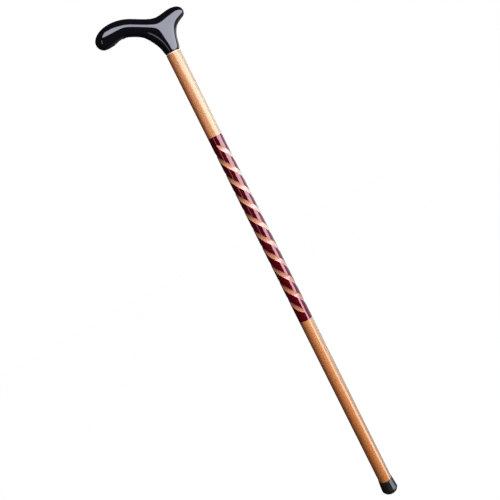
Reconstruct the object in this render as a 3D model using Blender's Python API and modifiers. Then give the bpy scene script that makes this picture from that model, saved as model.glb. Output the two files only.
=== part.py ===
# Derby walking cane: a gloss black handle on a round beech shaft, a lacquered middle band
# carved with a three-start spiral, and a twelve-sided rubber ferrule.
# Metres, +Z up. The origin is the centre of the ferrule's flat sole, the palm points to -X.

import math

import bmesh
import bpy
import numpy as np

# Gap between pieces that touch on the real cane, and how far a cut runs past the face it opens
CLEARANCE = 0.0003
CUT_OVERRUN = 0.003

# Shaft
SHAFT_DIAMETER = 0.024
SHAFT_SIDES = 48
SHAFT_TOP_CHAMFER = 0.0005
FOOT_SHOULDER = 0.001          # step down to the foot that fills the ferrule
FOOT_CHAMFER = 0.001
PLAIN_TOP_LENGTH = 0.144       # joint to the top edge of the lacquered band
BAND_LENGTH = 0.337            # the lacquered band, carved nearly from end to end
PLAIN_FOOT_LENGTH = 0.3265     # lower edge of the band to the ferrule's rim

# Spiral flutes, carved by a round cutter along left-handed helices
FLUTE_STARTS = 3
FLUTE_PITCH = 0.099            # rise of one helix in a full turn
FLUTE_DEPTH = 0.0008
FLUTE_CUTTER_RADIUS = 0.014
FLUTE_CUTTER_SIDES = 28
FLUTE_MARGIN = 0.0233          # either edge of the band to where a flute has its full depth
FLUTE_FIRST_ANGLE = 280.0      # degrees about +Z from +X, where the first flute is deep at the top
FLUTE_STEP = 11.0              # degrees of turn between the points of the cutter's path
FLUTE_RUN_OUT = 33.0           # degrees over which a flute fades out at either end
FLUTE_LIFT_CLEAR = 1.5         # how far the cutter lifts out of the wood, in flute depths

# Joining stud between shaft and handle
STUD_DIAMETER = 0.008
STUD_IN_HANDLE = 0.030
STUD_IN_SHAFT = 0.045
STUD_CHAMFER = 0.001
STUD_SIDES = 24

# Rubber ferrule
FERRULE_HEIGHT = 0.027
FERRULE_SIDES = 12
FERRULE_TURN = 15.0            # degrees that set a flat, not a corner, to the side
FERRULE_PROUD = 0.001          # how far its corners stand out from the shaft at the rim
FERRULE_FLARE = 0.0017         # how much further they stand out at the widest
FERRULE_EDGE_RADIUS = 0.0085   # rounding from the wall into the sole
FERRULE_EDGE_STEPS = 5
FERRULE_SOLE = 0.006
FERRULE_SOCKET_SIDES = 48

# Steel disc that lies in the ferrule under the end of the shaft
DISC_PLAY = 0.0005
DISC_THICKNESS = 0.0015
DISC_CHAMFER = 0.0003
DISC_SIDES = 32

# Handle sections. A section is a pair of outline points, as (x, height above the joint),
# and the half width across the handle there.
PALM_SECTIONS = (
    ((-0.0159, 0.0622), (-0.0329, 0.0417), 0.0128),
    ((-0.0309, 0.0702), (-0.0469, 0.0482), 0.0130),
    ((-0.0459, 0.0772), (-0.0564, 0.0522), 0.0134),
    ((-0.0624, 0.0802), (-0.0714, 0.0487), 0.0140),
    ((-0.0759, 0.0797), (-0.0849, 0.0472), 0.0144),
    ((-0.0914, 0.0757), (-0.0989, 0.0477), 0.0130),
)
PALM_END = (-0.1099, 0.0647)
NOSE_SECTIONS = (
    ((0.0261, 0.0357), (0.0111, 0.0592), 0.0118),
    ((0.0351, 0.0402), (0.0241, 0.0617), 0.0106),
    ((0.0431, 0.0437), (0.0376, 0.0597), 0.0088),
)
NOSE_END = (0.0461, 0.0525)
# The neck's sections are level: height above the joint, and how far they stand out from the shaft
# towards the palm, towards the nose and across
NECK_SECTIONS = (
    (0.0180, 0.0042, 0.0040, 0.0004),
    (0.0085, 0.0015, 0.0026, 0.0002),
    (0.0, 0.0, 0.0, 0.0),
)
# Where palm, nose and neck meet: the middle, its half width, and the three hollows between them
HUB_CENTRE = (-0.0004, 0.0407)
HUB_HALF_WIDTH = 0.0126
HUB_SADDLE = (-0.0019, 0.0572)
HUB_FRONT = (0.0206, 0.0292)
HUB_CORNER = (-0.0254, 0.0332)
HANDLE_SMOOTHING = 2

# Heights and radii that follow from the sizes above
SHAFT_RADIUS = SHAFT_DIAMETER / 2
FOOT_RADIUS = SHAFT_RADIUS - FOOT_SHOULDER
SOCKET_RADIUS = FOOT_RADIUS + CLEARANCE
FERRULE_RIM_RADIUS = SHAFT_RADIUS + FERRULE_PROUD
STUD_RADIUS = STUD_DIAMETER / 2
STUD_HOLE_RADIUS = STUD_RADIUS + CLEARANCE
SHOULDER_Z = FERRULE_HEIGHT + CLEARANCE
BAND_FOOT_Z = FERRULE_HEIGHT + PLAIN_FOOT_LENGTH
BAND_TOP_Z = BAND_FOOT_Z + BAND_LENGTH
JOINT_Z = BAND_TOP_Z + PLAIN_TOP_LENGTH
DISC_Z = FERRULE_SOLE + CLEARANCE
SHAFT_FOOT_Z = DISC_Z + DISC_THICKNESS + CLEARANCE

# Eight points of a ring are pushed out so that its smoothed form reaches the stated outline
RING_POINTS = 8
RING_FULLNESS = 6 / (4 + 2 * math.cos(2 * math.pi / RING_POINTS))


def clear_scene():
    for old in list(bpy.data.objects):
        bpy.data.objects.remove(old, do_unlink=True)


def make_collection(name):
    collection = bpy.data.collections.new(name)
    bpy.context.scene.collection.children.link(collection)
    return collection


def make_material(name, colour, roughness, metallic=0.0):
    material = bpy.data.materials.new(name)
    material.use_nodes = True
    shader = material.node_tree.nodes["Principled BSDF"]
    shader.inputs["Base Color"].default_value = (*colour, 1.0)
    shader.inputs["Roughness"].default_value = roughness
    shader.inputs["Metallic"].default_value = metallic
    return material


def add_object(name, mesh, collection, material=None):
    piece = bpy.data.objects.new(name, mesh)
    collection.objects.link(piece)
    if material is not None:
        mesh.materials.append(material)
    return piece


def mark_as_cutter(piece):
    piece.hide_render = True
    piece.display_type = "WIRE"


def subtract(piece, cutter):
    cut = piece.modifiers.new("cut " + cutter.name, "BOOLEAN")
    cut.operation = "DIFFERENCE"
    cut.object = cutter


def shade_round(mesh, angle=35.0):
    mesh.shade_smooth()
    mesh.set_sharp_from_angle(angle=math.radians(angle))


def add_turned(name, profile, steps, collection, material=None):
    """A profile of (radius, height) points, top to bottom, turned about Z."""
    mesh = bpy.data.meshes.new(name)
    points = [(radius, 0.0, height) for radius, height in profile]
    edges = [(i, i + 1) for i in range(len(points) - 1)]
    mesh.from_pydata(points, edges, [])
    piece = add_object(name, mesh, collection, material)
    turn = piece.modifiers.new("turn", "SCREW")
    turn.axis = "Z"
    turn.angle = math.tau
    turn.steps = steps
    turn.render_steps = steps
    turn.use_merge_vertices = True
    turn.merge_threshold = 0.00001
    turn.use_smooth_shade = False
    return piece


def add_round_cutter(name, radius, low, high, sides, collection):
    mesh = bpy.data.meshes.new(name)
    shape = bmesh.new()
    bmesh.ops.create_cone(
        shape, cap_ends=True, segments=sides, radius1=radius, radius2=radius, depth=high - low
    )
    bmesh.ops.translate(shape, verts=shape.verts, vec=(0.0, 0.0, (low + high) / 2))
    shape.to_mesh(mesh)
    shape.free()
    cutter = add_object(name, mesh, collection)
    mark_as_cutter(cutter)
    return cutter


def rod_profile(radius, low, high, chamfer):
    """The side of a round rod with chamfered ends, from the axis above to the axis below."""
    return [
        (0.0, high),
        (radius - chamfer, high),
        (radius, high - chamfer),
        (radius, low + chamfer),
        (radius - chamfer, low),
        (0.0, low),
    ]


def flute_path(start):
    """The cutter's centre along one helix: it falls as it turns, and lifts out at both ends."""
    top = BAND_TOP_Z - FLUTE_MARGIN
    foot = BAND_FOOT_Z + FLUTE_MARGIN
    full_turn = (top - foot) / FLUTE_PITCH * 360.0
    extra = FLUTE_RUN_OUT * FLUTE_LIFT_CLEAR
    count = math.ceil((full_turn + 2 * extra) / FLUTE_STEP)
    turns = np.linspace(-extra, full_turn + extra, count + 1)
    past_end = np.maximum(np.maximum(-turns, turns - full_turn), 0.0)
    lifts = past_end / FLUTE_RUN_OUT * FLUTE_DEPTH
    first = FLUTE_FIRST_ANGLE + start * 360.0 / FLUTE_STARTS
    angles = np.radians(first + turns)
    radii = SHAFT_RADIUS - FLUTE_DEPTH + FLUTE_CUTTER_RADIUS + lifts
    heights = top - turns / 360.0 * FLUTE_PITCH
    return np.stack([radii * np.cos(angles), radii * np.sin(angles), heights], axis=1)


def add_flute_cutter(start, collection):
    name = f"flute_cutter_{start + 1}"
    curve = bpy.data.curves.new(name, "CURVE")
    curve.dimensions = "3D"
    curve.bevel_depth = FLUTE_CUTTER_RADIUS
    curve.bevel_resolution = FLUTE_CUTTER_SIDES // 2 - 2
    curve.use_fill_caps = True
    path = flute_path(start)
    spline = curve.splines.new("POLY")
    spline.points.add(len(path) - 1)
    for point, place in zip(spline.points, path):
        point.co = (*place, 1.0)
    guide = add_object(name + "_path", curve, collection)
    bpy.context.view_layer.update()
    evaluated = guide.evaluated_get(bpy.context.evaluated_depsgraph_get())
    mesh = bpy.data.meshes.new_from_object(evaluated)
    mesh.name = name
    shape = bmesh.new()
    shape.from_mesh(mesh)
    bmesh.ops.remove_doubles(shape, verts=shape.verts, dist=0.000001)
    bmesh.ops.recalc_face_normals(shape, faces=shape.faces)
    shape.to_mesh(mesh)
    shape.free()
    cutter = add_object(name, mesh, collection)
    cutter.matrix_world = guide.matrix_world.copy()
    bpy.data.objects.remove(guide, do_unlink=True)
    mark_as_cutter(cutter)
    return cutter


def add_shaft(parts, cutters, material):
    profile = [
        (0.0, JOINT_Z),
        (SHAFT_RADIUS - SHAFT_TOP_CHAMFER, JOINT_Z),
        (SHAFT_RADIUS, JOINT_Z - SHAFT_TOP_CHAMFER),
        (SHAFT_RADIUS, SHOULDER_Z),
        (FOOT_RADIUS, SHOULDER_Z),
        (FOOT_RADIUS, SHAFT_FOOT_Z + FOOT_CHAMFER),
        (FOOT_RADIUS - FOOT_CHAMFER, SHAFT_FOOT_Z),
        (0.0, SHAFT_FOOT_Z),
    ]
    shaft = add_turned("shaft", profile, SHAFT_SIDES, parts, material)
    hole = add_round_cutter(
        "shaft_stud_hole",
        STUD_HOLE_RADIUS,
        JOINT_Z - STUD_IN_SHAFT - CLEARANCE,
        JOINT_Z + CUT_OVERRUN,
        STUD_SIDES,
        cutters,
    )
    subtract(shaft, hole)
    for start in range(FLUTE_STARTS):
        subtract(shaft, add_flute_cutter(start, cutters))
    return shaft


def section_ring(first, second, half_width):
    """Eight points round one section: the first outline point, front, the second, back."""
    centre = (np.array(first) + np.array(second)) / 2
    reach = (np.array(first) - np.array(second)) / 2
    angles = np.arange(RING_POINTS) * math.tau / RING_POINTS
    flat = centre + np.outer(np.cos(angles), reach) * RING_FULLNESS
    across = -np.sin(angles) * half_width * RING_FULLNESS
    return np.stack([flat[:, 0], across, flat[:, 1]], axis=1)


def hub_rib(hollow):
    """Three points from the front of the hub round one hollow of the outline to its back."""
    step = math.tau / RING_POINTS
    angles = np.array([-step, 0.0, step])
    reach = np.array(hollow) - np.array(HUB_CENTRE)
    flat = np.array(HUB_CENTRE) + np.outer(np.cos(angles), reach) * RING_FULLNESS
    across = np.sin(angles) * HUB_HALF_WIDTH * RING_FULLNESS
    return np.stack([flat[:, 0], across, flat[:, 1]], axis=1)


def add_handle(parts, cutters, material):
    """A coarse cage of rings along palm, nose and neck, joined round a hub and smoothed."""
    shape = bmesh.new()

    def add_points(places):
        return [shape.verts.new((x, y, z + JOINT_Z + CLEARANCE)) for x, y, z in places]

    def join(one, other):
        for i in range(len(one) - 1):
            shape.faces.new((one[i], one[i + 1], other[i + 1], other[i]))

    def half(ring, side):
        order = (2, 1, 0, 7, 6) if side == "first" else (2, 3, 4, 5, 6)
        return [ring[i] for i in order]

    def branch(rings):
        for one, other in zip(rings, rings[1:]):
            join(one + one[:1], other + other[:1])

    def close(ring, end):
        tip = add_points([(end[0], 0.0, end[1])])[0]
        for i in range(0, RING_POINTS, 2):
            shape.faces.new((tip, ring[i], ring[i + 1], ring[(i + 2) % RING_POINTS]))

    palm = [add_points(section_ring(*section)) for section in PALM_SECTIONS]
    nose = [add_points(section_ring(*section)) for section in NOSE_SECTIONS]
    neck = []
    for height, to_palm, to_nose, across in NECK_SECTIONS:
        first = (-SHAFT_RADIUS - to_palm, height)
        second = (SHAFT_RADIUS + to_nose, height)
        neck.append(add_points(section_ring(first, second, SHAFT_RADIUS + across)))
    hub_y = HUB_HALF_WIDTH * RING_FULLNESS
    hub_front, hub_back = add_points(
        [(HUB_CENTRE[0], -hub_y, HUB_CENTRE[1]), (HUB_CENTRE[0], hub_y, HUB_CENTRE[1])]
    )

    for rings in (palm, nose, neck):
        branch(rings)
    hollows = (
        (HUB_CORNER, half(palm[0], "second"), half(neck[0], "first")),
        (HUB_FRONT, half(neck[0], "second"), half(nose[0], "first")),
        (HUB_SADDLE, half(nose[0], "second"), half(palm[0], "first")),
    )
    for hollow, one, other in hollows:
        rib = [hub_front] + add_points(hub_rib(hollow)) + [hub_back]
        join(one, rib)
        join(rib, other)
    close(palm[-1], PALM_END)
    close(nose[-1], NOSE_END)
    foot = shape.faces.new(neck[-1])

    bmesh.ops.recalc_face_normals(shape, faces=shape.faces)
    crease = shape.edges.layers.float.new("crease_edge")
    for edge in foot.edges:
        edge[crease] = 1.0
    mesh = bpy.data.meshes.new("handle")
    shape.to_mesh(mesh)
    shape.free()
    handle = add_object("handle", mesh, parts, material)
    smooth = handle.modifiers.new("smooth", "SUBSURF")
    smooth.levels = HANDLE_SMOOTHING
    smooth.render_levels = HANDLE_SMOOTHING
    hole = add_round_cutter(
        "handle_stud_hole",
        STUD_HOLE_RADIUS,
        JOINT_Z - CUT_OVERRUN,
        JOINT_Z + STUD_IN_HANDLE + CLEARANCE,
        STUD_SIDES,
        cutters,
    )
    subtract(handle, hole)
    return handle


def add_stud(parts, material):
    profile = rod_profile(
        STUD_RADIUS, JOINT_Z - STUD_IN_SHAFT, JOINT_Z + STUD_IN_HANDLE, STUD_CHAMFER
    )
    return add_turned("joining_stud", profile, STUD_SIDES, parts, material)


def ferrule_profile():
    """From the axis at the rim, down the flared wall, round the edge and in along the sole."""
    centre_radius = FERRULE_RIM_RADIUS + FERRULE_FLARE - FERRULE_EDGE_RADIUS
    profile = [(0.0, FERRULE_HEIGHT), (FERRULE_RIM_RADIUS, FERRULE_HEIGHT)]
    for step in range(FERRULE_EDGE_STEPS + 1):
        angle = math.pi / 2 * step / FERRULE_EDGE_STEPS
        radius = centre_radius + FERRULE_EDGE_RADIUS * math.cos(angle)
        height = FERRULE_EDGE_RADIUS * (1 - math.sin(angle))
        profile.append((radius, height))
    profile.append((0.0, 0.0))
    return profile


def add_ferrule(parts, cutters, material):
    ferrule = add_turned("ferrule", ferrule_profile(), FERRULE_SIDES, parts, material)
    ferrule.rotation_euler.z = math.radians(FERRULE_TURN)
    socket = add_round_cutter(
        "ferrule_socket",
        SOCKET_RADIUS,
        FERRULE_SOLE,
        FERRULE_HEIGHT + CUT_OVERRUN,
        FERRULE_SOCKET_SIDES,
        cutters,
    )
    subtract(ferrule, socket)
    return ferrule


def add_disc(parts, material):
    radius = SOCKET_RADIUS - DISC_PLAY
    profile = rod_profile(radius, DISC_Z, DISC_Z + DISC_THICKNESS, DISC_CHAMFER)
    return add_turned("ferrule_disc", profile, DISC_SIDES, parts, material)


def build_cane():
    clear_scene()
    parts = make_collection("derby_cane")
    cutters = make_collection("cutters")
    gloss_black = make_material("gloss_black", (0.012, 0.012, 0.016), 0.08)
    beech = make_material("beech", (0.56, 0.33, 0.16), 0.35)
    rubber = make_material("black_rubber", (0.035, 0.035, 0.035), 0.55)
    steel = make_material("zinc_plated_steel", (0.60, 0.61, 0.62), 0.30, 1.0)

    handle = add_handle(parts, cutters, gloss_black)
    shaft = add_shaft(parts, cutters, beech)
    stud = add_stud(parts, steel)
    ferrule = add_ferrule(parts, cutters, rubber)
    disc = add_disc(parts, steel)
    for piece in (handle, shaft, stud, ferrule, disc):
        shade_round(piece.data)


build_cane()
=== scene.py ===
# Looks of the derby cane: gloss handle, lacquered and fluted beech shaft, faceted rubber ferrule.
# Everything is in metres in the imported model's frame, with the ferrule's sole at z = 0.
import math
import bmesh
import bpy
import numpy as np
from mathutils import Euler, Matrix, Vector


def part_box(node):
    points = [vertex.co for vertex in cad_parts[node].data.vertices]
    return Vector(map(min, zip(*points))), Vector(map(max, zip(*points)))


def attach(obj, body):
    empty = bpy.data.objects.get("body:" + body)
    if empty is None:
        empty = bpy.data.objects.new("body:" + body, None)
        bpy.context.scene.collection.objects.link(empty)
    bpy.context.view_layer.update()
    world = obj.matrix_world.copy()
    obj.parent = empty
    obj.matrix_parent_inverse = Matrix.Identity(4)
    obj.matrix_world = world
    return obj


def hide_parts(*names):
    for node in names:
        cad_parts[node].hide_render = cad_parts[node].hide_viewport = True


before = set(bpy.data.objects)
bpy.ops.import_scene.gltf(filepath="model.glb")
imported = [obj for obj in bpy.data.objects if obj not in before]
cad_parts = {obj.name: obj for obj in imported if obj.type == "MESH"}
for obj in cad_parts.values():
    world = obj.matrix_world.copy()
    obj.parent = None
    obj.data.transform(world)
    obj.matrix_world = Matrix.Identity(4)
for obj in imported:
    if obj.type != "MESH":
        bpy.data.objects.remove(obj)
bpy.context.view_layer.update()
print("frame loaded:", ", ".join(sorted(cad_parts)))

shaftLow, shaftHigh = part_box("shaft")
shaftRadius = shaftHigh.x
shaftFootZ = shaftLow.z
jointZ = shaftHigh.z
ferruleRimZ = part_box("ferrule")[1].z
clearance = 0.0003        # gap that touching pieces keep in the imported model


# helpers for meshes
def addPiece(name, points, faces, material, body):
    mesh = bpy.data.meshes.new(name)
    mesh.from_pydata(points, [], faces)
    mesh.materials.append(material)
    piece = bpy.data.objects.new(name, mesh)
    bpy.context.scene.collection.objects.link(piece)
    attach(piece, body)
    return piece


def gridFaces(rows, columns):
    # quads between neighbouring rows of a grid whose last column joins its first
    row = np.arange(rows - 1)[:, None] * columns
    column = np.arange(columns)[None, :]
    beside = (column + 1) % columns
    quads = [row + column, row + columns + column, row + columns + beside, row + beside]
    return np.stack(quads, -1).reshape(-1, 4).tolist()


def fanFaces(pole, first, columns, flip):
    # triangles from a pole to the row that starts at first
    column = np.arange(columns)
    beside = (column + 1) % columns
    edge = (beside, column) if flip else (column, beside)
    return np.stack([np.full(columns, pole), first + edge[0], first + edge[1]], 1).tolist()


def closedTurning(rings, poleTop, poleFoot):
    # rings is (rows, columns, 3) from the first pole to the last; both ends close in a point
    rows, columns, _ = rings.shape
    points = np.concatenate([rings.reshape(-1, 3), [poleTop], [poleFoot]])
    count = rows * columns
    faces = gridFaces(rows, columns)
    faces += fanFaces(count, 0, columns, False)
    faces += fanFaces(count + 1, count - columns, columns, True)
    return points.tolist(), faces


def levelRings(profile, turn):
    # for each (radius, height) of the profile, a level ring: radius * cos and sin of each angle in turn
    radius, height = np.array(profile).T[:, :, None]
    return np.stack([radius * np.cos(turn), radius * np.sin(turn), height * np.ones_like(turn)], -1)


def setAttribute(mesh, name, values):
    layer = mesh.attributes.new(name, "FLOAT", "POINT")
    layer.data.foreach_set("value", np.asarray(values, np.float32).ravel())


def shadeByAngle(mesh, degrees):
    mesh.shade_smooth()
    mesh.set_sharp_from_angle(angle=math.radians(degrees))


def fixNormals(mesh):
    shape = bmesh.new()
    shape.from_mesh(mesh)
    bmesh.ops.recalc_face_normals(shape, faces=shape.faces)
    shape.to_mesh(mesh)
    shape.free()


# helpers for nodes
def addNode(tree, kind, **settings):
    node = tree.nodes.new(kind)
    for key, value in settings.items():
        setattr(node, key, value)
    return node


def feed(tree, value, socket):
    # a number or a colour is set on the socket, and another node's output is linked to it
    if isinstance(value, (int, float)):
        socket.default_value = value
    elif isinstance(value, tuple):
        socket.default_value = (*value, 1.0)
    else:
        tree.links.new(value, socket)


def mathNode(tree, operation, first, second, clamp=False):
    node = addNode(tree, "ShaderNodeMath", operation=operation, use_clamp=clamp)
    feed(tree, first, node.inputs[0])
    feed(tree, second, node.inputs[1])
    return node.outputs[0]


def plus(tree, first, second):
    return mathNode(tree, "ADD", first, second)


def times(tree, first, second):
    return mathNode(tree, "MULTIPLY", first, second)


def splitVector(tree, vector):
    node = addNode(tree, "ShaderNodeSeparateXYZ")
    feed(tree, vector, node.inputs[0])
    return node.outputs["X"], node.outputs["Y"], node.outputs["Z"]


def sizedVector(tree, vector, scale):
    node = addNode(tree, "ShaderNodeVectorMath", operation="SCALE")
    feed(tree, vector, node.inputs[0])
    feed(tree, scale, node.inputs["Scale"])
    return node.outputs[0]


def drawnOut(tree, vector, along):
    # heights count for only this share, which draws a pattern out along the shaft
    node = addNode(tree, "ShaderNodeMapping")
    node.inputs["Scale"].default_value = (1.0, 1.0, along)
    feed(tree, vector, node.inputs["Vector"])
    return node.outputs[0]


def noiseNode(tree, vector, scale, detail, roughness=0.5, distortion=0.0):
    node = addNode(tree, "ShaderNodeTexNoise")
    node.inputs["Scale"].default_value = scale
    node.inputs["Detail"].default_value = detail
    node.inputs["Roughness"].default_value = roughness
    node.inputs["Distortion"].default_value = distortion
    feed(tree, vector, node.inputs["Vector"])
    return node.outputs["Fac"]


def voronoiNode(tree, vector, scale, feature="F1"):
    node = addNode(tree, "ShaderNodeTexVoronoi", feature=feature)
    node.inputs["Scale"].default_value = scale
    feed(tree, vector, node.inputs["Vector"])
    return node.outputs["Distance"]


def rangeNode(tree, value, low, high, outLow=0.0, outHigh=1.0, smooth=False):
    node = addNode(tree, "ShaderNodeMapRange", interpolation_type="SMOOTHSTEP" if smooth else "LINEAR")
    feed(tree, value, node.inputs["Value"])
    for key, number in (("From Min", low), ("From Max", high), ("To Min", outLow), ("To Max", outHigh)):
        node.inputs[key].default_value = number
    return node.outputs["Result"]


def mixNumber(tree, share, first, second):
    node = addNode(tree, "ShaderNodeMix", data_type="FLOAT")
    for place, value in ((0, share), (2, first), (3, second)):
        feed(tree, value, node.inputs[place])
    return node.outputs[0]


def mixColour(tree, share, first, second, blend="MIX"):
    node = addNode(tree, "ShaderNodeMix", data_type="RGBA", blend_type=blend)
    for place, value in ((0, share), (6, first), (7, second)):
        feed(tree, value, node.inputs[place])
    return node.outputs[2]


def objectVector(tree):
    return addNode(tree, "ShaderNodeTexCoord").outputs["Object"]


def addBump(tree, shader, height, strength, distance):
    bump = addNode(tree, "ShaderNodeBump")
    bump.inputs["Strength"].default_value = strength
    bump.inputs["Distance"].default_value = distance
    feed(tree, height, bump.inputs["Height"])
    feed(tree, bump.outputs["Normal"], shader.inputs["Normal"])


def newMaterial(name, constants):
    # the constants go by the names of the shader's sockets
    material = bpy.data.materials.new(name)
    material.use_nodes = True
    tree = material.node_tree
    shader = tree.nodes["Principled BSDF"]
    for label, value in constants.items():
        feed(tree, value, shader.inputs[label])
    return material, tree, shader


def newGroup(name, inputs, outputs):
    group = bpy.data.node_groups.new(name, "ShaderNodeTree")
    for label, kind in inputs:
        group.interface.new_socket(name=label, in_out="INPUT", socket_type=kind)
    for label, kind in outputs:
        group.interface.new_socket(name=label, in_out="OUTPUT", socket_type=kind)
    return group, addNode(group, "NodeGroupInput"), addNode(group, "NodeGroupOutput")


def useGroup(tree, group, values):
    node = addNode(tree, "ShaderNodeGroup", node_tree=group)
    for label, value in values.items():
        feed(tree, value, node.inputs[label])
    return node.outputs


# finger marks and hairline scratches, shared by every finish
handlingUser = {
    "markScale": 55.0,
    "scratchScale": 190.0,
    "scratchTurns": [(0.5, 0.2, 0.9), (-0.7, 0.6, -0.4)],
    "scratchStretch": (1.0, 0.12, 0.5),
    "scratchWidth": 0.012,
    "patchScale": 30.0,      # scratches lie in patches
}


def makeHandlingGroup():
    # Marks is 0 to 1 in soft blots; Scratches is 0 to 1 along thin lines that cross in patches
    user = handlingUser
    group, start, end = newGroup(
        "handlingMarks",
        [("Vector", "NodeSocketVector"), ("Scale", "NodeSocketFloat")],
        [("Marks", "NodeSocketFloat"), ("Scratches", "NodeSocketFloat")],
    )
    place = sizedVector(group, start.outputs["Vector"], start.outputs["Scale"])
    marks = noiseNode(group, place, user["markScale"], 4.0, 0.6, 0.8)
    marks = rangeNode(group, marks, 0.38, 0.72, smooth=True)
    lines = []
    for turn in user["scratchTurns"]:
        turned = addNode(group, "ShaderNodeMapping")
        turned.inputs["Rotation"].default_value = turn
        turned.inputs["Scale"].default_value = user["scratchStretch"]
        feed(group, place, turned.inputs["Vector"])
        cracks = voronoiNode(group, turned.outputs[0], user["scratchScale"], "DISTANCE_TO_EDGE")
        lines.append(rangeNode(group, cracks, 0.0, user["scratchWidth"], 1.0, 0.0))
    patch = noiseNode(group, place, user["patchScale"], 2.0)
    patch = rangeNode(group, patch, 0.5, 0.65, smooth=True)
    feed(group, marks, end.inputs["Marks"])
    feed(group, times(group, mathNode(group, "MAXIMUM", *lines), patch), end.inputs["Scratches"])
    return group


handlingMarks = makeHandlingGroup()


# gloss black handle
handleUser = {
    "colour": (0.0022, 0.0020, 0.0034),
    "sheen": (0.84, 0.87, 1.0),
    "roughness": (0.03, 0.09),      # clean, and under a finger mark
    "handlingScale": 1.0,     # of the finger marks and scratches; more makes them smaller
    "scratchRoughness": 0.12,
    "scratchDepth": 0.5,      # against the ripple
    "rippleScale": 260.0,
    "relief": (0.03, 0.0002),       # the bump's strength and distance
    "inset": 0.9988,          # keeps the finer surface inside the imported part's box
    "smoothing": 4,
    "studHoleRadius": 0.0043,
    "studHoleDepth": 0.0303,
    "footChamfer": 0.0016,
    "closing": 0.00025,       # brings the foot's face down to the shaft, 0.3 mm apart as packed
    "footReach": 0.004,       # how far up the neck is squeezed to make room for the chamfer
    # outline points as (x, height above the joint) in pairs, and the half width across there
    "palm": [
        ((-0.0159, 0.0622), (-0.0329, 0.0417), 0.0128),
        ((-0.0309, 0.0702), (-0.0469, 0.0482), 0.0130),
        ((-0.0459, 0.0772), (-0.0564, 0.0522), 0.0134),
        ((-0.0624, 0.0802), (-0.0714, 0.0487), 0.0140),
        ((-0.0759, 0.0797), (-0.0849, 0.0472), 0.0144),
        ((-0.0914, 0.0757), (-0.0989, 0.0477), 0.0130),
    ],
    "palmEnd": (-0.1099, 0.0647),
    "nose": [
        ((0.0261, 0.0357), (0.0111, 0.0592), 0.0118),
        ((0.0351, 0.0402), (0.0241, 0.0617), 0.0106),
        ((0.0431, 0.0437), (0.0376, 0.0597), 0.0088),
    ],
    "noseEnd": (0.0461, 0.0525),
    # height above the joint, and how far the neck stands out to the palm, to the nose and across
    "neck": [
        (0.0180, 0.0042, 0.0040, 0.0004),
        (0.0085, 0.0015, 0.0026, 0.0002),
        (0.0, 0.0, 0.0, 0.0),
    ],
    "hub": (-0.0004, 0.0407),
    "hubHalfWidth": 0.0126,
    "hollows": [(-0.0254, 0.0332), (0.0206, 0.0292), (-0.0019, 0.0572)],      # round the hub
}
ringPoints = 8        # in each ring of the handle's cage; the joins at the hub count on it


def makeGlossBlack():
    user = handleUser
    material, tree, shader = newMaterial("polishedBlack", {
        "Base Color": user["colour"], "Specular Tint": user["sheen"], "IOR": 1.5,
        "Coat Weight": 1.0, "Coat Roughness": 0.03,
    })
    vector = objectVector(tree)
    handled = {"Vector": vector, "Scale": user["handlingScale"]}
    marks, scratches = useGroup(tree, handlingMarks, handled)
    rough = rangeNode(tree, marks, 0.0, 1.0, *user["roughness"])
    rough = plus(tree, rough, times(tree, scratches, user["scratchRoughness"]))
    feed(tree, rough, shader.inputs["Roughness"])
    ripple = noiseNode(tree, vector, user["rippleScale"], 2.0)
    height = mathNode(tree, "SUBTRACT", ripple, times(tree, scratches, user["scratchDepth"]))
    addBump(tree, shader, height, *user["relief"])
    return material


def sectionRings(sections, fullness):
    # a ring is centre + cos(a) * half the pair's span in the outline plane + sin(a) * half width across
    first, second, wide = (np.array(values) for values in zip(*sections))
    angle = np.arange(ringPoints) * math.tau / ringPoints
    centre, reach = (first + second) / 2, (first - second) / 2 * fullness
    flat = centre[:, None] + np.cos(angle)[None, :, None] * reach[:, None]
    across = -np.sin(angle)[None, :] * wide[:, None] * fullness
    return np.stack([flat[..., 0], across, flat[..., 1]], -1)


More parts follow.
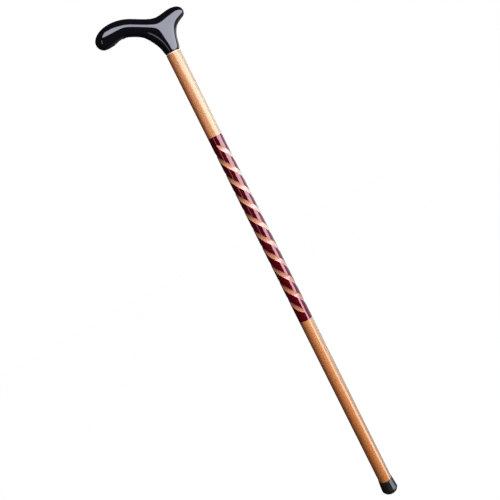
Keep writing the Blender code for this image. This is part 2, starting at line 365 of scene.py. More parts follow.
def handleCage():
    # rings along the palm, the nose and the neck; between them a hub with a middle at the front and
    # one at the back, and three ribs that run from one to the other round the outline's hollows
    user = handleUser
    fullness = 6 / (4 + 2 * math.cos(math.tau / ringPoints))      # the smoothed ring reaches its outline
    neckSections = [
        ((-shaftRadius - toPalm, height), (shaftRadius + toNose, height), shaftRadius + across)
        for height, toPalm, toNose, across in user["neck"]
    ]
    branches = [sectionRings(s, fullness) for s in (user["palm"], user["nose"], neckSections)]
    # where the points of palm, nose, neck and hub start
    palm, nose, neck, hubStart = np.cumsum([0] + [len(rings) * ringPoints for rings in branches])
    faces = []
    for rings, start in zip(branches, (palm, nose, neck)):
        faces += (np.array(gridFaces(len(rings), ringPoints)) + start).tolist()
    hub = np.array(user["hub"])
    wide = user["hubHalfWidth"] * fullness
    middles = [[hub[0], -wide, hub[1]], [hub[0], wide, hub[1]]]
    angle = np.array([-1, 0, 1]) * math.tau / ringPoints
    reach = (np.array(user["hollows"]) - hub) * fullness
    flat = hub + np.cos(angle)[None, :, None] * reach[:, None]
    across = np.broadcast_to(np.sin(angle) * wide, (3, 3))
    ribs = np.stack([flat[..., 0], across, flat[..., 1]], -1)
    tips = [[x, 0.0, z] for x, z in (user["palmEnd"], user["noseEnd"])]
    branchPoints = [rings.reshape(-1, 3) for rings in branches]
    points = np.concatenate([*branchPoints, middles, ribs.reshape(-1, 3), tips])
    # a ring's half towards its first outline point, and the one towards its second
    firstHalf, secondHalf = np.array([2, 1, 0, 7, 6]), np.array([2, 3, 4, 5, 6])
    joins = [
        (palm + secondHalf, neck + firstHalf),
        (neck + secondHalf, nose + firstHalf),
        (nose + secondHalf, palm + firstHalf),
    ]
    ribStart = hubStart + 2
    for number, (one, other) in enumerate(joins):
        rib = np.array([hubStart, *(ribStart + number * 3 + np.arange(3)), hubStart + 1])
        for a, b in ((one, rib), (rib, other)):
            faces += np.stack([a[:-1], a[1:], b[1:], b[:-1]], 1).tolist()
    # four quads close the palm's end, and four the nose's
    pair = np.arange(0, ringPoints, 2)
    palmTip = ribStart + ribs.shape[0] * ribs.shape[1]
    for tip, last in ((palmTip, nose - ringPoints), (palmTip + 1, neck - ringPoints)):
        fan = [np.full(len(pair), tip), last + pair, last + pair + 1, last + (pair + 2) % ringPoints]
        faces += np.stack(fan, 1).tolist()
    points[:, :2] *= user["inset"]
    points[:, 2] = points[:, 2] * user["inset"] + jointZ + clearance
    return points, faces


def smoothed(cage, levels):
    # the cage after so many rounds of subdivision, as arrays of points and quads
    stand = bpy.data.objects.new("smoothing", cage)
    bpy.context.scene.collection.objects.link(stand)
    smooth = stand.modifiers.new("smooth", "SUBSURF")
    smooth.levels = smooth.render_levels = levels
    state = bpy.context.evaluated_depsgraph_get()
    mesh = bpy.data.meshes.new_from_object(stand.evaluated_get(state))
    points = np.empty(len(mesh.vertices) * 3)
    mesh.vertices.foreach_get("co", points)
    corners = np.empty(len(mesh.loops), int)
    mesh.loops.foreach_get("vertex_index", corners)
    bpy.data.objects.remove(stand)
    bpy.data.meshes.remove(mesh)
    bpy.data.meshes.remove(cage)
    return points.reshape(-1, 3), corners.reshape(-1, 4)


def closeFoot(points, faces, foot):
    # rings run in from the open foot's rim over a chamfer to the stud's hole, up the hole and to a
    # pole on its end; the neck is squeezed up by chamfer * (1 - height / reach) to make room
    user = handleUser
    edges = np.sort(np.stack([faces, np.roll(faces, -1, 1)], -1).reshape(-1, 2), 1)
    edges, uses = np.unique(edges, axis=0, return_counts=True)
    rim = np.unique(edges[uses == 1])
    turn = np.arctan2(points[rim, 1], points[rim, 0])
    rim = rim[np.argsort(turn)]
    turn = np.sort(turn)
    points[rim, 2] = foot
    chamfer, reach, closing = user["footChamfer"], user["footReach"], user["closing"]
    up = points[:, 2] - foot
    points[:, 2] += np.where(up < reach, chamfer * (1 - up / reach), 0.0)
    radius = np.hypot(points[rim, 0], points[rim, 1]).mean()
    hole, holeTop = user["studHoleRadius"], foot + user["studHoleDepth"]
    drop = chamfer + closing
    profile = [(radius - chamfer * share, foot + chamfer - drop * share) for share in (0.5, 1.0)]
    profile += [(hole, foot - closing), (hole, foot + user["studHoleDepth"] / 2), (hole, holeTop)]
    count, columns = len(points), len(rim)
    points = np.concatenate([points, levelRings(profile, turn).reshape(-1, 3), [[0, 0, holeTop]]])
    row = np.concatenate([rim, count + np.arange(columns * len(profile))]).reshape(-1, columns)
    beside = np.roll(row, -1, 1)
    quads = np.stack([row[:-1], row[1:], beside[1:], beside[:-1]], -1).reshape(-1, 4)
    pole = np.full(columns, len(points) - 1)
    fan = np.stack([row[-1], pole, beside[-1]], 1)
    return points.tolist(), faces.tolist() + quads.tolist() + fan.tolist()


def makeHandle(material):
    points, faces = handleCage()
    cage = bpy.data.meshes.new("handleCage")
    cage.from_pydata(points.tolist(), [], faces)
    fixNormals(cage)
    foot = points[:, 2].min()
    points, faces = smoothed(cage, handleUser["smoothing"])
    points, faces = closeFoot(points, faces, foot)
    handle = addPiece("handle_grip", points, faces, material, "cane")
    fixNormals(handle.data)
    shadeByAngle(handle.data, 40)
    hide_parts("handle")


makeHandle(makeGlossBlack())
print("handle done")


# beech shaft with its lacquered band
shaftUser = {
    "bandTop": 0.6905,
    "bandFoot": 0.3535,
    "starts": 3,
    "pitch": 0.099,
    "depth": 0.0008,
    "cutterRadius": 0.014,
    "margin": 0.0233,         # either edge of the band to where a flute has its full depth
    "firstAngle": 280.0,      # degrees about +Z where the first flute is deep at the top
    "runOut": 33.0,           # degrees over which a flute fades out at either end
    "topRound": 0.0011,
    "footRadius": 0.011,
    "footChamfer": 0.001,
    "studHoleRadius": 0.0043,
    "studHoleDepth": 0.0453,
    # colours as (lower end, upper end); paler wood on the nose side of the rod, and paler still at its
    # edge, is painted light, and the darker palm edge is painted shade
    "wood": ((0.47, 0.156, 0.046), (0.46, 0.190, 0.080)),
    "litWood": ((0.33, 0.172, 0.094), (0.35, 0.218, 0.126)),
    "rimLitWood": ((0.34, 0.208, 0.124), (0.38, 0.248, 0.172)),
    "paintedShadeWood": (0.38, 0.122, 0.042),
    "flute": ((0.49, 0.190, 0.106), (0.52, 0.228, 0.125)),
    # the flutes' paler colours on the nose side are painted light
    "litFlute": ((0.31, 0.140, 0.090), (0.42, 0.295, 0.200)),
    "paleJointEdge": (0.72, 0.56, 0.44),       # the paler rounded edge at the joint
    "paleJointReach": (0.0018, 0.0009),        # below the joint: where it starts, and where it is full
    "paleJointShare": 0.85,
    "woodSheen": (0.92, 0.80, 0.55),
    "woodIndex": 1.75,                      # of refraction
    "woodRoughness": (0.22, 0.30),          # clean, and under a finger mark
    "lacquer": ((0.078, 0.0006, 0.0040), (0.050, 0.0004, 0.0026)),
    "lacquerDark": (0.030, 0.0002, 0.0012),
    "lacquerRings": 0.4,                    # how much of the growth rings shows through
    "lacquerSheen": (1.0, 0.52, 0.61),
    "lacquerIndex": 2.0,
    "lacquerRoughness": (0.07, 0.12),
    "lacquerWander": (0.10, 0.0001),        # of its edge at a flute, in mm, and at its ends, in m
    "coat": (0.35, 0.5),                    # on wood, and on lacquer
    "coatRoughness": 0.06,
    "handlingScale": 1.3,
    "scratchRoughness": 0.1,
    # growth rings, fibres and flecks
    "ringSlant": (0.45, 0.9, 0.012),        # how fast the rings are crossed along x, y and z
    "ringWander": 0.006,
    "ringScale": 400.0,
    "ringShare": 0.55,
    "fibreScale": 620.0,
    "fibreStretch": 0.022,
    "fibreShare": 0.4,
    "dense": 0.76,                          # brightness where ring and fibre together are darkest
    "fleckScale": 900.0,
    "fleckStretch": 0.08,
    "fleckShare": 0.4,
    "fleck": (0.86, 0.76, 0.64),            # what a full fleck leaves of the wood's colour
    # heights of fibres and flecks, what is left of both under the lacquer, and the lacquer's own
    "fibreHeight": 0.2,
    "fleckHeight": -0.05,
    "coveredHeight": 0.35,
    "lacquerHeight": 1.2,
    "relief": (0.2, 0.00005),
}


def fluteShape(z, offset):
    # depth, half width and signed edge distance at an angle offset (degrees) from the nearest flute's
    # middle on the level z, and the sine of the flute's slope. The depth falls off evenly with the
    # turn past either end, and the half width is the root of 2 * depth / bend, where the bend is the
    # cutter's own and the rod's across the slope.
    user = shaftUser
    top = user["bandTop"] - user["margin"]
    fullTurn = (user["bandTop"] - user["bandFoot"] - 2 * user["margin"]) / user["pitch"] * 360
    slope = math.atan2(user["pitch"], math.tau * shaftRadius)
    turn = (top - z) / user["pitch"] * 360 + offset * math.cos(slope) ** 2
    past = np.maximum(np.maximum(-turn, turn - fullTurn), 0.0)
    depth = user["depth"] * (1 - past / user["runOut"])
    bend = 1 / user["cutterRadius"] + math.sin(slope) ** 2 / shaftRadius
    halfWidth = np.sqrt(2 * np.maximum(depth, 0.0) / bend)
    beyond = np.maximum(past - user["runOut"], 0.0) / 360 * user["pitch"]
    across = np.radians(np.abs(offset)) * shaftRadius * math.sin(slope)
    return np.maximum(depth, 0.0), halfWidth, across - halfWidth + beyond, math.sin(slope)


def fluteSector(z, sector):
    # one flute and the land up to the next, as (levels, columns) of angle offset in degrees, radius
    # and distance to the flute's edge: the radius is the rod's less depth * (1 - share squared), with
    # the share 0 in the flute's middle and 1 at its edge
    inside = np.array([0, 0.15, 0.3, 0.45, 0.58, 0.7, 0.8, 0.88, 0.94, 0.98])      # of the half width
    inside = np.concatenate([-inside[:0:-1], inside])
    land = np.array([0.0, 0.01, 0.04, 0.1, 0.2, 0.32, 0.44, 0.5])      # of the way over the land
    land = np.concatenate([land, 1 - land[-2::-1]])
    narrowest = 0.0006      # half width that the columns keep where there is no flute
    _, wide, _, rise = fluteShape(z, np.zeros_like(z))
    reach = np.degrees(np.maximum(wide, narrowest) / (shaftRadius * rise))[:, None]
    for _ in range(3):      # the half width depends on the offset, and settles when repeated
        _, wide, _, _ = fluteShape(z[:, None], inside * reach)
        reach = np.degrees(np.maximum(wide, narrowest) / (shaftRadius * rise))
    offset = inside * reach
    depth, wide, edge, _ = fluteShape(z[:, None], offset)
    across = np.radians(np.abs(offset)) * shaftRadius * rise
    share = np.clip(across / np.maximum(wide, 1e-9), 0, 1)
    radius = shaftRadius - depth * (1 - share ** 2)
    low, high = reach[:, -1:], sector - reach[:, :1]
    over = low + (high - low) * land
    near = np.where(over > sector / 2, over - sector, over)
    landEdge = np.maximum(fluteShape(z[:, None], near)[2], 0.0)
    flutePart = (offset, radius, edge)
    landPart = (over, np.full_like(over, shaftRadius), landEdge)
    return [np.concatenate(pair, 1) for pair in zip(flutePart, landPart)]


def shaftLevels(straight):
    # heights from the joint down to the ferrule's rim, closest together where the flutes fade out
    top, foot = shaftUser["bandTop"], shaftUser["bandFoot"]
    above = np.linspace(jointZ - shaftUser["topRound"], top + straight, 26)
    runs = [
        (top + 0.010, top - 0.008, -0.001),
        (top - 0.0085, top - 0.030, -0.0005),
        (top - 0.031, foot + 0.031, -0.0013),
        (foot + 0.030, foot + 0.0085, -0.0005),
        (foot + 0.008, foot - 0.010, -0.001),
    ]
    below = np.linspace(foot - straight, ferruleRimZ + clearance, 50)
    return np.concatenate([above, *(np.arange(*run) for run in runs), below])


def makeShaft(plain, band):
    # the side is radius * cos and sin of an angle that turns with the flutes as it goes down, and runs
    # straight at either end; above it a rounded edge and the stud's hole, below it the reduced foot
    user = shaftUser
    starts = user["starts"]
    straight = 0.012      # the columns stop turning this far past either edge of the band
    farOff = 0.01         # distance to a flute's edge that the ends of the shaft are given
    z = shaftLevels(straight)
    sector = 360 / starts
    offset, radius, edge = fluteSector(z, sector)
    turning = np.clip(z, user["bandFoot"] - straight, user["bandTop"] + straight)
    twist = (user["bandTop"] - user["margin"] - turning) / user["pitch"] * 360
    angle = np.concatenate([offset + sector * start for start in range(starts)], 1)
    angle = np.radians(angle + user["firstAngle"] + twist[:, None])
    radius, edge = np.tile(radius, starts), np.tile(edge, starts)
    height = np.broadcast_to(z[:, None], angle.shape)
    side = np.stack([radius * np.cos(angle), radius * np.sin(angle), height], -1)
    hole, holeFoot = user["studHoleRadius"], jointZ - user["studHoleDepth"]
    bead = user["topRound"]
    topProfile = [(hole, holeFoot), (hole, jointZ)] + [
        (shaftRadius - bead * (1 - math.sin(bend)), jointZ - bead * (1 - math.cos(bend)))
        for bend in np.linspace(0, math.pi / 2, 7)[:-1]
    ]
    foot, chamfer = user["footRadius"], user["footChamfer"]
    footProfile = [(foot, z[-1]), (foot, shaftFootZ + chamfer), (foot - chamfer, shaftFootZ)]
    rings = [levelRings(topProfile, angle[0]), side, levelRings(footProfile, angle[-1])]
    points, faces = closedTurning(np.concatenate(rings), (0, 0, holeFoot), (0, 0, shaftFootZ))
    shaft = addPiece("fluted_shaft", points, faces, plain, "cane")
    mesh = shaft.data
    mesh.materials.append(band)
    centres = np.empty(len(mesh.polygons) * 3)
    mesh.polygons.foreach_get("center", centres)
    level = centres[2::3]
    onBand = (user["bandFoot"] < level) & (level < user["bandTop"])
    mesh.polygons.foreach_set("material_index", onBand.astype(np.int32))
    edge = np.pad(edge, ((len(topProfile), len(footProfile)), (0, 0)), constant_values=farOff)
    edge = np.concatenate([edge.ravel(), [farOff, farOff]])      # the two poles come last
    setAttribute(mesh, "fluteEdge", edge * 1000)      # in millimetres
    fixNormals(mesh)
    shadeByAngle(mesh, 38)
    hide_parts("shaft")


def makeBeechGroup():
    # Colour is the wood's or the lacquer's, with painted light on the nose side of the bare wood and flutes
    # and painted shade at the palm edge; Lacquer is 1 on the band off the flutes; Relief is a height
    user = shaftUser
    group, start, end = newGroup(
        "beechAndLacquer",
        [("Vector", "NodeSocketVector"), ("Flute Edge", "NodeSocketFloat")],
        [("Colour", "NodeSocketColor"), ("Lacquer", "NodeSocketFloat"), ("Relief", "NodeSocketFloat")],
    )
    vector = start.outputs["Vector"]
    x, y, z = splitVector(group, vector)
    # growth rings: a slanted plane's distance, bent by slow noise, read by one-dimensional noise
    slow = noiseNode(group, drawnOut(group, vector, 0.09), 60.0, 2.0)
    alongX, alongY, alongZ = user["ringSlant"]
    plane = plus(group, times(group, x, alongX), times(group, y, alongY))
    plane = plus(group, plane, times(group, z, alongZ))
    plane = plus(group, plane, times(group, slow, user["ringWander"]))
    ringNoise = addNode(group, "ShaderNodeTexNoise", noise_dimensions="1D")
    ringNoise.inputs["Scale"].default_value = user["ringScale"]
    ringNoise.inputs["Detail"].default_value = 1.0
    feed(group, plane, ringNoise.inputs["W"])
    rings = rangeNode(group, ringNoise.outputs["Fac"], 0.36, 0.66, smooth=True)
    fibre = noiseNode(group, drawnOut(group, vector, user["fibreStretch"]), user["fibreScale"], 1.0)
    fleckCells = voronoiNode(group, drawnOut(group, vector, user["fleckStretch"]), user["fleckScale"])
    fleckChance = noiseNode(group, drawnOut(group, vector, 0.1), 240.0, 1.0)
    flecks = rangeNode(group, fleckCells, 0.16, 0.30, 1.0, 0.0)
    flecks = times(group, flecks, rangeNode(group, fleckChance, 0.45, 0.6))
    # where the lacquer lies: on the band and off the flutes, with edges a little uneven
    wander = mathNode(group, "SUBTRACT", noiseNode(group, vector, 900.0, 2.0), 0.5)
    fluteWander, endWander = (times(group, wander, most) for most in user["lacquerWander"])
    edge = plus(group, start.outputs["Flute Edge"], fluteWander)
    offFlute = rangeNode(group, edge, -0.03, 0.03, smooth=True)
    inFlute = rangeNode(group, edge, -0.25, 0.25, 1.0, 0.0, smooth=True)
    level, blur = plus(group, z, endWander), 0.00005
    underTop = rangeNode(group, level, user["bandTop"] - blur, user["bandTop"] + blur, 1.0, 0.0)
    overFoot = rangeNode(group, level, user["bandFoot"] - blur, user["bandFoot"] + blur)
    lacquer = times(group, times(group, underTop, overFoot), offFlute)
    # the bare wood, from end to end, and from side to side with painted light: paler on the nose side and
    # paler still at its edge, with painted shade darkening the palm edge
    height = rangeNode(group, z, 0.1, 0.75)
    bandHeight = rangeNode(group, z, user["bandFoot"], user["bandTop"])
    across = mathNode(group, "DIVIDE", x, shaftRadius)
    shifted = plus(group, across, rangeNode(group, height, 0.0, 1.0, -0.45, 0.0))
    side = rangeNode(group, shifted, -0.08, 0.42, smooth=True)
    rimLightEdge = rangeNode(group, across, 0.7, 1.0, smooth=True)
    paintedShadeEdge = rangeNode(group, across, -0.42, -0.88, smooth=True)
    wood, litWood, rimLitWood = (
        mixColour(group, height, *user[name]) for name in ("wood", "litWood", "rimLitWood")
    )
    wood = mixColour(group, side, wood, litWood)
    wood = mixColour(group, rimLightEdge, wood, rimLitWood)
    wood = mixColour(group, paintedShadeEdge, wood, user["paintedShadeWood"])
    # the cut wood in the flutes, paler on the nose side as painted light
    upper = rangeNode(group, bandHeight, 0.12, 0.6, smooth=True)
    litCutSide = rangeNode(group, across, -0.1, 0.8, smooth=True)
    cut = mixColour(group, bandHeight, *user["flute"])
    cut = mixColour(group, litCutSide, cut, mixColour(group, upper, *user["litFlute"]))
    wood = mixColour(group, inFlute, wood, cut)
    # grain, flecks and the paler edge at the joint
    fibreGrain = rangeNode(group, fibre, 0.35, 0.75, 0.0, user["fibreShare"])
    grain = plus(group, times(group, rings, user["ringShare"]), fibreGrain)
    wood = sizedVector(group, wood, rangeNode(group, grain, 0.0, 1.0, 1.0, user["dense"]))
    wood = mixColour(group, times(group, flecks, user["fleckShare"]), wood, user["fleck"], "MULTIPLY")
    paleJointLow, paleJointHigh = (jointZ - reach for reach in user["paleJointReach"])
    paleJoint = rangeNode(group, z, paleJointLow, paleJointHigh, 0.0, user["paleJointShare"], smooth=True)
    wood = mixColour(group, paleJoint, wood, user["paleJointEdge"])
    tint = mixColour(group, bandHeight, *user["lacquer"])
    tint = mixColour(group, times(group, rings, user["lacquerRings"]), tint, user["lacquerDark"])
    # fibres stand up and flecks sink in, less so under the lacquer, which has its own thickness
    relief = times(group, fibre, user["fibreHeight"])
    relief = plus(group, relief, times(group, flecks, user["fleckHeight"]))
    relief = times(group, relief, rangeNode(group, lacquer, 0.0, 1.0, 1.0, user["coveredHeight"]))
    relief = plus(group, relief, times(group, lacquer, user["lacquerHeight"]))
    feed(group, mixColour(group, lacquer, wood, tint), end.inputs["Colour"])
    feed(group, lacquer, end.inputs["Lacquer"])
    feed(group, relief, end.inputs["Relief"])
    return group


beechAndLacquer = makeBeechGroup()


def makeCaneWood(name, sheen, index):
    user = shaftUser
    material, tree, shader = newMaterial(name, {
        "IOR": index, "Specular Tint": sheen, "Coat Roughness": user["coatRoughness"],
    })
    vector = objectVector(tree)
    edge = addNode(tree, "ShaderNodeAttribute", attribute_name="fluteEdge").outputs["Fac"]
    colour, lacquer, relief = useGroup(tree, beechAndLacquer, {"Vector": vector, "Flute Edge": edge})
    handled = {"Vector": vector, "Scale": user["handlingScale"]}
    marks, scratches = useGroup(tree, handlingMarks, handled)
    roughWood = rangeNode(tree, marks, 0.0, 1.0, *user["woodRoughness"])
    roughLacquer = rangeNode(tree, marks, 0.0, 1.0, *user["lacquerRoughness"])
    rough = mixNumber(tree, lacquer, roughWood, roughLacquer)
    rough = plus(tree, rough, times(tree, scratches, user["scratchRoughness"]))
    feed(tree, colour, shader.inputs["Base Color"])
    feed(tree, rough, shader.inputs["Roughness"])
    feed(tree, rangeNode(tree, lacquer, 0.0, 1.0, *user["coat"]), shader.inputs["Coat Weight"])
    addBump(tree, shader, relief, *user["relief"])
    return material


clearBeech = makeCaneWood("clearBeech", shaftUser["woodSheen"], shaftUser["woodIndex"])
carvedBand = makeCaneWood("carvedBand", shaftUser["lacquerSheen"], shaftUser["lacquerIndex"])
makeShaft(clearBeech, carvedBand)
print("shaft done")


# rubber ferrule
ferruleUser = {
    "sides": 12,
    "turn": 15.0,             # degrees that set a flat, not a corner, to the side
    "rimRadius": 0.013,
    "flare": 0.0017,
    "edgeRadius": 0.0085,
    "socketRadius": 0.0113,
    "floor": 0.006,
    "cornerRound": 0.16,      # share of a flat that is rounded at each corner
    "rimRound": 0.0005,
    "colour": (0.0087, 0.0078, 0.0075),
    "worn": (0.0165, 0.0150, 0.0143),
    "scuff": (0.06, 0.058, 0.056),
    "scuffReach": 0.006,      # scuffs fade out this far above the sole
    "scuffShare": 0.6,
    "scuffRoughness": 0.25,
    "scratchScuff": 0.3,      # how much of a scuff a scratch is
    "roughness": (0.29, 0.38),
    "handlingScale": 2.2,
    "mottleScale": 240.0,
    "grainScale": 2600.0,
    "grainHeight": 0.5,       # against the mottle
    "relief": (0.25, 0.0001),
}


def makeRubber():
    user = ferruleUser
    material, tree, shader = newMaterial("blackRubber", {"IOR": 1.62})
    vector = objectVector(tree)
    handled = {"Vector": vector, "Scale": user["handlingScale"]}
    _, scratches = useGroup(tree, handlingMarks, handled)
    grain = noiseNode(tree, vector, user["grainScale"], 3.0, 0.6)
    mottle = noiseNode(tree, vector, user["mottleScale"], 4.0, 0.6)
    low = rangeNode(tree, splitVector(tree, vector)[2], 0.0, user["scuffReach"], 1.0, 0.0)
    scuffs = mathNode(tree, "MULTIPLY", low, rangeNode(tree, mottle, 0.42, 0.62), clamp=True)
    scuffs = mathNode(tree, "MAXIMUM", scuffs, times(tree, scratches, user["scratchScuff"]))
    worn = rangeNode(tree, mottle, 0.3, 0.7, 0.0, 0.6)
    colour = mixColour(tree, worn, user["colour"], user["worn"])
    colour = mixColour(tree, times(tree, scuffs, user["scuffShare"]), colour, user["scuff"])
    feed(tree, colour, shader.inputs["Base Color"])
    rough = rangeNode(tree, mottle, 0.3, 0.7, *user["roughness"])
    rough = plus(tree, rough, times(tree, scuffs, user["scuffRoughness"]))
    feed(tree, rough, shader.inputs["Roughness"])
    height = plus(tree, times(tree, grain, user["grainHeight"]), mottle)
    addBump(tree, shader, height, *user["relief"])
    return material


def makeFerrule(material):
    # a profile turned about the axis, up the socket, over the rim, down the wall and round to the sole.
    # On the outside a flat's distance from the axis is its middle's over the cosine of the angle off it;
    # near a corner that angle is held back smoothly, which rounds the corner off.
    user = ferruleUser
    sides, columns = user["sides"], user["sides"] * 16
    angle = np.arange(columns) * math.tau / columns
    half = math.pi / sides
    off = np.abs((angle - math.radians(user["turn"]) + half) % (2 * half) - half)
    off = half - off                       # 0 at a flat's middle, half at a corner
    soft = user["cornerRound"] * half
    past = np.maximum(off - (half - soft), 0.0)
    held = off - past ** 2 / (2 * soft)
    flat = math.cos(half) / np.cos(held)   # 1 would be the corner itself
    socket, floor, bead = user["socketRadius"], user["floor"], user["rimRound"]
    rim, edge, top = user["rimRadius"], user["edgeRadius"], ferruleRimZ
    centre = rim + user["flare"] - edge    # of the edge's rounding
    bends = np.linspace(0, math.pi / 2, 5)
    inner = [(socket, floor)]
    inner += [(socket, height) for height in np.linspace(floor + 0.001, top - bead, 6)]
    inner += [(socket + bead * (1 - math.cos(b)), top - bead * (1 - math.sin(b))) for b in bends[1:]]
    outer = [(rim - bead + bead * math.sin(b), top - bead * (1 - math.cos(b))) for b in bends]
    wallTop, wallFoot = np.array([rim, top - bead]), np.array([centre + edge, edge])
    outer += [wallTop * (1 - share) + wallFoot * share for share in np.linspace(0, 1, 9)[1:-1]]
    outer += [
        (centre + edge * math.cos(a), edge * (1 - math.sin(a)))
        for a in np.linspace(0, math.pi / 2, 15)
    ]
    profile = np.array(inner + outer)
    faceted = np.arange(len(profile))[:, None] >= len(inner)
    radius = profile[:, :1] * np.where(faceted, flat, 1.0)
    height = np.broadcast_to(profile[:, 1:], radius.shape)
    rings = np.stack([radius * np.cos(angle), radius * np.sin(angle), height], -1)
    points, faces = closedTurning(rings, (0, 0, floor), (0, 0, 0))
    ferrule = addPiece("rubber_ferrule", points, faces, material, "ferrule")
    fixNormals(ferrule.data)
    shadeByAngle(ferrule.data, 38)
    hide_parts("ferrule")


makeFerrule(makeRubber())
print("ferrule done")


# steel stud and disc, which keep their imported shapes
steelUser = {
    "nodes": ("joining_stud", "ferrule_disc"),
    "dull": (0.50, 0.51, 0.52),
    "bright": (0.64, 0.65, 0.66),
    "roughness": (0.24, 0.4),
    "handlingScale": 2.0,
    "scratchRoughness": 0.2,
    "mottleScale": 500.0,
    "relief": (0.2, 0.00005),
}


def makeZinc():
    user = steelUser
    material, tree, shader = newMaterial("zincPlate", {"Metallic": 1.0})
    vector = objectVector(tree)
    handled = {"Vector": vector, "Scale": user["handlingScale"]}
    _, scratches = useGroup(tree, handlingMarks, handled)
    mottle = noiseNode(tree, vector, user["mottleScale"], 4.0, 0.6)
    feed(tree, mixColour(tree, mottle, user["dull"], user["bright"]), shader.inputs["Base Color"])
    rough = rangeNode(tree, mottle, 0.3, 0.7, *user["roughness"])
    rough = plus(tree, rough, times(tree, scratches, user["scratchRoughness"]))
    feed(tree, rough, shader.inputs["Roughness"])
    addBump(tree, shader, mottle, *user["relief"])
    return material


zinc = makeZinc()
for nodeName in steelUser["nodes"]:
    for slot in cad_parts[nodeName].material_slots:
        slot.material = zinc
print("steel done")


# stage, light and camera
stageUser = {
    "cameraPlace": (-0.04735, -1.00814, 0.66128),
    "cameraTurn": (79.9022, 26.3594, -5.4260),
    "lens": 44.64,
    "backdrop": 1.0,
    "fill": 0.016,            # how bright the room is where nothing shines
    "behind": 1.2,
    "beside": 0.8,
    "floorColour": (0.02, 0.02, 0.02),
    "floorGlow": 0.99,
    "floorDrop": 0.045,       # the floor lies lower than the sole, so a pulled ferrule stays in sight
    "floorRadius": 4.0,
    # the big light: its corners as degrees right of and above the lens, seen from the handle
    "lightAim": (-0.02, 0.0, 0.875),
    "lightDistance": 0.7,
    "lightFacing": (30, 4),
    "lightCorners": [
        (-30, 4), (0, -3), (11, -4), (23, 0), (31, -8), (39, -19), (44, -27), (48, -33),
        (54, -42), (60, -50), (86, -46), (81, -39), (71, -34), (70, -28), (76, -19), (78, -8),
        (79, 42), (14, 30), (2, 24), (-8, 25), (-16, 32), (-30, 32),
    ],
    "lightPower": (4.6, 5.9),      # at its palm end, and at its nose end
    "lightColour": (0.90, 0.915, 1.0),
    # upright lamps: degrees round from the lens, height above lightAim, size, power, seen in gloss, colour
    "lamps": {
        "leftStreak": (-35, -0.19, (0.13, 0.66), 0.36, True, (1, 1, 1)),
        "frontFill": (8, -0.55, (0.5, 1.1), 7.8, False, (1, 1, 1)),
        "rimFill": (85, -0.45, (0.5, 1.2), 19.0, False, (0.29, 0.65, 1.0)),      # cool, at the nose side
        "backFill": (180, -0.3, (0.5, 1.1), 7.0, False, (1, 1, 1)),              # for the views from behind
        "backStreak": (177.3, -0.1, (0.08, 0.8), 0.9, True, (1, 1, 1)),
    },
}


def lensAxes():
    turn = Euler([math.radians(a) for a in stageUser["cameraTurn"]]).to_matrix()
    return np.array(turn).T      # rows: right, up and back of the lens


def lookTowards(angles):
    # unit directions for (degrees right, degrees up) measured round the way back to the lens: the
    # pair's length is the angle off that way, and its bearing the side it leans to
    angles = np.radians(np.atleast_2d(angles).astype(float))
    reach = np.hypot(angles[:, 0], angles[:, 1])
    bearing = np.arctan2(angles[:, 1], angles[:, 0])
    parts = [np.sin(reach) * np.cos(bearing), np.sin(reach) * np.sin(bearing), np.cos(reach)]
    return np.stack(parts, 1) @ lensAxes()


def makeRoom():
    # white behind for the lens; reflections see dark in front and pale behind and to the right
    user = stageUser
    world = bpy.data.worlds.new("paleRoom")
    bpy.context.scene.world = world
    world.use_nodes = True
    tree = world.node_tree
    background = tree.nodes["Background"]
    way = addNode(tree, "ShaderNodeTexCoord").outputs["Generated"]
    right, _, back = lensAxes()
    shares = []
    for axis in (right, back):
        dot = addNode(tree, "ShaderNodeVectorMath", operation="DOT_PRODUCT")
        dot.inputs[1].default_value = axis
        feed(tree, way, dot.inputs[0])
        shares.append(dot.outputs["Value"])
    toRight, toLens = shares      # 1 straight along that axis, 0 square to it
    behind = rangeNode(tree, toLens, -0.25, -0.6, 0.0, user["behind"], smooth=True)
    behind = times(tree, behind, rangeNode(tree, toRight, 0.25, 0.65, smooth=True))
    beside = rangeNode(tree, toRight, 0.7, 0.95, 0.0, user["beside"], smooth=True)
    beside = times(tree, beside, rangeNode(tree, toLens, 0.3, 0.1, smooth=True))
    # below, only a quarter of both is left
    raised = rangeNode(tree, splitVector(tree, way)[2], -0.45, -0.05, 0.25, 1.0, smooth=True)
    glow = times(tree, mathNode(tree, "MAXIMUM", behind, beside), raised)
    glow = plus(tree, glow, user["fill"])
    seen = addNode(tree, "ShaderNodeLightPath").outputs["Is Camera Ray"]
    feed(tree, mixNumber(tree, seen, glow, user["backdrop"]), background.inputs["Strength"])
    feed(tree, (1, 1, 1), background.inputs["Color"])


def makeFloor():
    user = stageUser
    mesh = bpy.data.meshes.new("floor")
    shape = bmesh.new()
    bmesh.ops.create_circle(shape, cap_ends=True, segments=96, radius=user["floorRadius"])
    shape.to_mesh(mesh)
    shape.free()
    mesh.transform(Matrix.Translation((0, 0, -user["floorDrop"])))
    floor = bpy.data.objects.new("floor", mesh)
    bpy.context.scene.collection.objects.link(floor)
    material, _, _ = newMaterial("paleFloor", {
        "Base Color": user["floorColour"], "Roughness": 0.8,
        "Emission Color": (1, 1, 1), "Emission Strength": user["floorGlow"],
    })
    mesh.materials.append(material)
    floor.visible_glossy = False
    floor.visible_diffuse = False


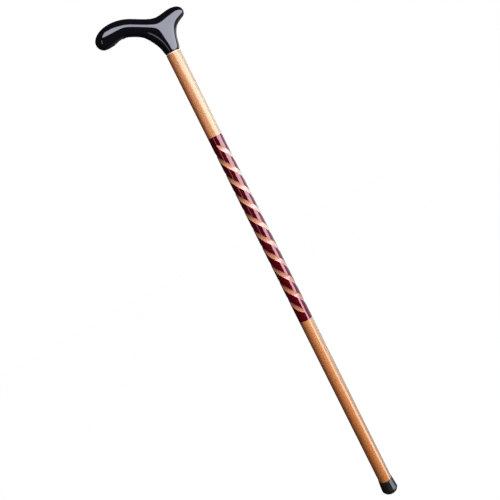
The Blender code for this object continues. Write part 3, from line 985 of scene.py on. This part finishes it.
def makeBigLight():
    # a flat panel: each corner's direction is carried out to the plane that faces the handle
    user = stageUser
    facing = lookTowards(user["lightFacing"])[0]
    ways = lookTowards(user["lightCorners"])
    corners = np.array(user["lightAim"]) + ways * (user["lightDistance"] / (ways @ facing))[:, None]
    mesh = bpy.data.meshes.new("bigLight")
    mesh.from_pydata(corners.tolist(), [], [list(range(len(corners)))])
    panel = bpy.data.objects.new("bigLight", mesh)
    bpy.context.scene.collection.objects.link(panel)
    material = bpy.data.materials.new("lightCloth")
    material.use_nodes = True
    tree = material.node_tree
    tree.nodes.remove(tree.nodes["Principled BSDF"])
    glow = addNode(tree, "ShaderNodeEmission")
    # the strength is plain and the colour fades, so the renderer knows how bright the panel is
    low, high = user["lightPower"]
    glow.inputs["Strength"].default_value = high
    left, right = corners[:, 0].min(), corners[:, 0].max()
    share = rangeNode(tree, splitVector(tree, objectVector(tree))[0], left, right, low / high, 1.0)
    feed(tree, mixColour(tree, share, (0, 0, 0), user["lightColour"]), glow.inputs["Color"])
    feed(tree, glow.outputs[0], tree.nodes["Material Output"].inputs["Surface"])
    mesh.materials.append(material)
    panel.visible_camera = False
    panel.visible_shadow = False


def addUprightLamp(name, bearing, rise, size, power, inGloss, colour):
    # a metre off the aim, facing it
    lamp = bpy.data.lights.new(name, "AREA")
    lamp.shape = "RECTANGLE"
    lamp.size, lamp.size_y = size
    lamp.energy = power
    lamp.color = colour
    stand = bpy.data.objects.new(name, lamp)
    bpy.context.scene.collection.objects.link(stand)
    turn = math.radians(bearing)
    aim = Vector(stageUser["lightAim"])
    stand.location = aim + Vector((math.sin(turn), -math.cos(turn), rise))
    stand.rotation_euler = (math.radians(90), 0, turn)
    stand.visible_camera = False
    stand.visible_glossy = inGloss


def makeCamera():
    user = stageUser
    camera = bpy.data.objects.new("camera", bpy.data.cameras.new("camera"))
    bpy.context.scene.collection.objects.link(camera)
    camera.location = user["cameraPlace"]
    camera.rotation_euler = [math.radians(a) for a in user["cameraTurn"]]
    camera.data.lens = user["lens"]
    camera.data.sensor_width = 36.0
    camera.data.clip_start = 0.01
    bpy.context.scene.camera = camera


makeRoom()
makeFloor()
makeBigLight()
for lampName, lampValues in stageUser["lamps"].items():
    addUprightLamp(lampName, *lampValues)
makeCamera()
bpy.context.scene.view_settings.view_transform = "Standard"
print("stage done")
